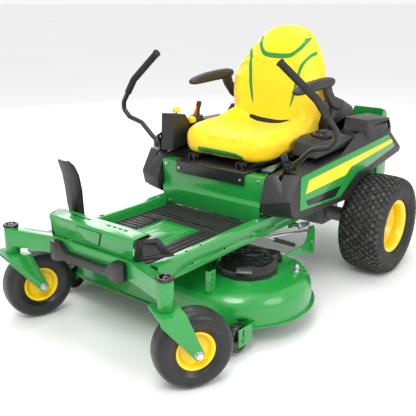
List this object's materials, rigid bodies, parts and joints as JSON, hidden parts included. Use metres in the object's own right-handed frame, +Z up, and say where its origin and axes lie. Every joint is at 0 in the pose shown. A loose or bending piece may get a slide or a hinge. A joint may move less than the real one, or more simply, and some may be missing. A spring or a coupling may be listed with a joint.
{
  "type": "zero turn mower",
  "caption": "Ride-on zero turn mower with swivelling front wheels, driven rear wheels, a belt driven cutting deck under a tube frame, a bucket seat and two lap bars.",
  "frame": {"origin": "on the ground, under the middle of the whole size", "axes": "+Z up, +Y toward the machine's rear, +X toward the operator's left"},
  "size_m": [1.392, 1.9632, 1.108],
  "materials": {
    "green_paint": "gloss",
    "yellow_paint": "gloss",
    "yellow_plastic": "gloss",
    "seat_vinyl": "satin",
    "black_plastic": "textured",
    "dark_coat": "satin",
    "tyre": "matte",
    "mat_rubber": "matte",
    "bright_steel": "zinc plated",
    "casting": "cast",
    "orange_plastic": "gloss",
    "foam_grip": "matte",
    "armrest_skin": "satin",
    "green_plastic": "gloss"
  },
  "bodies": {
    "chassis": {"main_frame": "green_paint", "front_axle": "green_paint", "floor_pan": "green_paint", "floor_mats": "mat_rubber", "inspection_cover": "green_paint", "front_bumper": "green_paint", "front_mouldings": "black_plastic", "front_panel": "green_paint", "panel_bolts": "bright_steel", "seat_plate": "dark_coat", "fender_near": "black_plastic", "fender_far": "black_plastic", "side_panels": "green_plastic", "side_stripes": "yellow_plastic", "console": "black_plastic", "engine_block": "casting", "engine_shroud": "black_plastic", "muffler": "dark_coat", "rear_guard": "green_paint", "transaxles": "casting", "fuel_tank": "black_plastic"},
    "fork_near": {"caster_fork_near": "green_paint"},
    "fork_far": {"caster_fork_far": "green_paint"},
    "front_wheel_near": {"caster_tyre_near": "tyre", "caster_rim_near": "yellow_paint"},
    "front_wheel_far": {"caster_tyre_far": "tyre", "caster_rim_far": "yellow_paint"},
    "rear_wheel_near": {"drive_tyre_near": "tyre", "drive_rim_near": "yellow_paint", "drive_hub_near": "dark_coat"},
    "rear_wheel_far": {"drive_tyre_far": "tyre", "drive_rim_far": "yellow_paint", "drive_hub_far": "dark_coat"},
    "carrier_near": {"lever_carrier_near": "dark_coat"},
    "carrier_far": {"lever_carrier_far": "dark_coat"},
    "bar_near": {"lap_bar_near": "dark_coat", "lap_grip_near": "foam_grip"},
    "bar_far": {"lap_bar_far": "dark_coat", "lap_grip_far": "foam_grip"},
    "seat": {"seat_base": "dark_coat", "seat_shell": "seat_vinyl"},
    "arm_near": {"armrest_near": "armrest_skin"},
    "arm_far": {"armrest_far": "armrest_skin"},
    "deck": {"deck_shell": "green_paint", "belt_covers": "black_plastic", "deck_hangers": "green_paint", "lift_links": "bright_steel"},
    "roller_near": {"gauge_wheel_near": "black_plastic"},
    "roller_far": {"gauge_wheel_far": "black_plastic"},
    "cutter_near": {"blade_near": "bright_steel"},
    "cutter_far": {"blade_far": "bright_steel"},
    "clutch": {"clutch_pulley": "bright_steel"},
    "chute_flap": {"deflector": "black_plastic"},
    "pedal": {"lift_pedal": "dark_coat"},
    "shaft": {"lift_shaft": "bright_steel"},
    "cap": {"fuel_cap": "black_plastic"},
    "dial": {"height_dial": "yellow_plastic"},
    "switch": {"blade_switch": "yellow_plastic"},
    "throttle": {"throttle_lever": "black_plastic"},
    "choke": {"choke_lever": "orange_plastic"}
  },
  "joints": [
    {"name": "near_caster_swivel", "type": "hinge", "parent": "chassis", "child": "fork_near", "pos_m": [0.521, -0.91442, 0.3], "axis": [0, 0, 1], "continuous": true},
    {"name": "near_front_wheel_spin", "type": "hinge", "parent": "fork_near", "child": "front_wheel_near", "pos_m": [0.56388, -0.83643, 0.1395], "axis": [0.8763, -0.4818, 0], "continuous": true},
    {"name": "near_rear_wheel_spin", "type": "hinge", "parent": "chassis", "child": "rear_wheel_near", "pos_m": [0.592, 0.47158, 0.228], "axis": [1, 0, 0], "continuous": true},
    {"name": "near_drive_lever", "type": "hinge", "parent": "chassis", "child": "carrier_near", "pos_m": [0.47, -0.07642, 0.47], "axis": [1, 0, 0], "range_deg": [-8, 8]},
    {"name": "near_lap_bar_swing", "type": "hinge", "parent": "carrier_near", "child": "bar_near", "pos_m": [0.47, -0.12042, 0.592], "axis": [0, -1, 0], "range_deg": [0, 25]},
    {"name": "near_armrest_fold", "type": "hinge", "parent": "seat", "child": "arm_near", "pos_m": [0.386, 0.39958, 0.768], "axis": [-1, 0, 0], "range_deg": [0, 80]},
    {"name": "near_roller_spin", "type": "hinge", "parent": "deck", "child": "roller_near", "pos_m": [0.564, -0.59042, 0.066], "axis": [1, 0, 0], "continuous": true},
    {"name": "near_blade_spin", "type": "hinge", "parent": "deck", "child": "cutter_near", "pos_m": [0.378, -0.32342, 0.15], "axis": [0, 0, 1], "continuous": true},
    {"name": "far_caster_swivel", "type": "hinge", "parent": "chassis", "child": "fork_far", "pos_m": [-0.289, -0.91442, 0.3], "axis": [0, 0, 1], "continuous": true},
    {"name": "far_front_wheel_spin", "type": "hinge", "parent": "fork_far", "child": "front_wheel_far", "pos_m": [-0.26477, -0.82878, 0.1395], "axis": [0.9622, -0.2723, 0], "continuous": true},
    {"name": "far_rear_wheel_spin", "type": "hinge", "parent": "chassis", "child": "rear_wheel_far", "pos_m": [-0.36, 0.47158, 0.228], "axis": [1, 0, 0], "continuous": true},
    {"name": "far_drive_lever", "type": "hinge", "parent": "chassis", "child": "carrier_far", "pos_m": [-0.238, -0.07642, 0.47], "axis": [1, 0, 0], "range_deg": [-8, 8]},
    {"name": "far_lap_bar_swing", "type": "hinge", "parent": "carrier_far", "child": "bar_far", "pos_m": [-0.238, -0.12042, 0.592], "axis": [0, 1, 0], "range_deg": [0, 25]},
    {"name": "far_armrest_fold", "type": "hinge", "parent": "seat", "child": "arm_far", "pos_m": [-0.154, 0.39958, 0.768], "axis": [-1, 0, 0], "range_deg": [0, 80]},
    {"name": "far_roller_spin", "type": "hinge", "parent": "deck", "child": "roller_far", "pos_m": [-0.332, -0.59042, 0.066], "axis": [1, 0, 0], "continuous": true},
    {"name": "far_blade_spin", "type": "hinge", "parent": "deck", "child": "cutter_far", "pos_m": [-0.146, -0.32342, 0.15], "axis": [0, 0, 1], "continuous": true},
    {"name": "clutch_spin", "type": "hinge", "parent": "chassis", "child": "clutch", "pos_m": [0.116, 0.61158, 0.32], "axis": [0, 0, 1], "continuous": true},
    {"name": "seat_tilt", "type": "hinge", "parent": "chassis", "child": "seat", "pos_m": [0.116, -0.14142, 0.57], "axis": [-1, 0, 0], "range_deg": [-60, 0]},
    {"name": "deck_lift", "type": "slide", "parent": "chassis", "child": "deck", "axis": [0, 0, 1], "range_m": [0, 0.05]},
    {"name": "pedal_press", "type": "hinge", "parent": "chassis", "child": "pedal", "pos_m": [-0.106, -0.71442, 0.384], "axis": [1, 0, 0], "range_deg": [0, 14]},
    {"name": "lift_shaft_turn", "type": "hinge", "parent": "chassis", "child": "shaft", "pos_m": [0.116, 0.04158, 0.294], "axis": [1, 0, 0], "range_deg": [0, 36]},
    {"name": "chute_flap_fold", "type": "hinge", "parent": "deck", "child": "chute_flap", "pos_m": [-0.524, -0.37842, 0.2], "axis": [0, 1, 0], "range_deg": [0, 60]},
    {"name": "fuel_cap_turn", "type": "hinge", "parent": "chassis", "child": "cap", "pos_m": [0.438, 0.17158, 0.66], "axis": [0, 0, 1], "range_deg": [0, 270]},
    {"name": "height_dial_turn", "type": "hinge", "parent": "chassis", "child": "dial", "pos_m": [-0.173, -0.07342, 0.74], "axis": [0, 0, 1], "range_deg": [0, 270]},
    {"name": "blade_switch_pull", "type": "slide", "parent": "chassis", "child": "switch", "axis": [0, 0, 1], "range_m": [0, 0.018]},
    {"name": "throttle_swing", "type": "hinge", "parent": "chassis", "child": "throttle", "pos_m": [-0.176, 0.08358, 0.709], "axis": [1, 0, 0], "range_deg": [-20, 20]},
    {"name": "choke_swing", "type": "hinge", "parent": "chassis", "child": "choke", "pos_m": [-0.196, 0.08358, 0.709], "axis": [1, 0, 0], "range_deg": [-12, 36]}
  ],
  "couplings": [
    {"joint": "far_blade_spin", "follows": "near_blade_spin", "ratio": 1},
    {"joint": "clutch_spin", "follows": "near_blade_spin", "ratio": 1.12},
    {"joint": "pedal_press", "follows": "deck_lift", "rad_per_m": 4.8},
    {"joint": "lift_shaft_turn", "follows": "deck_lift", "rad_per_m": 12.4}
  ]
}
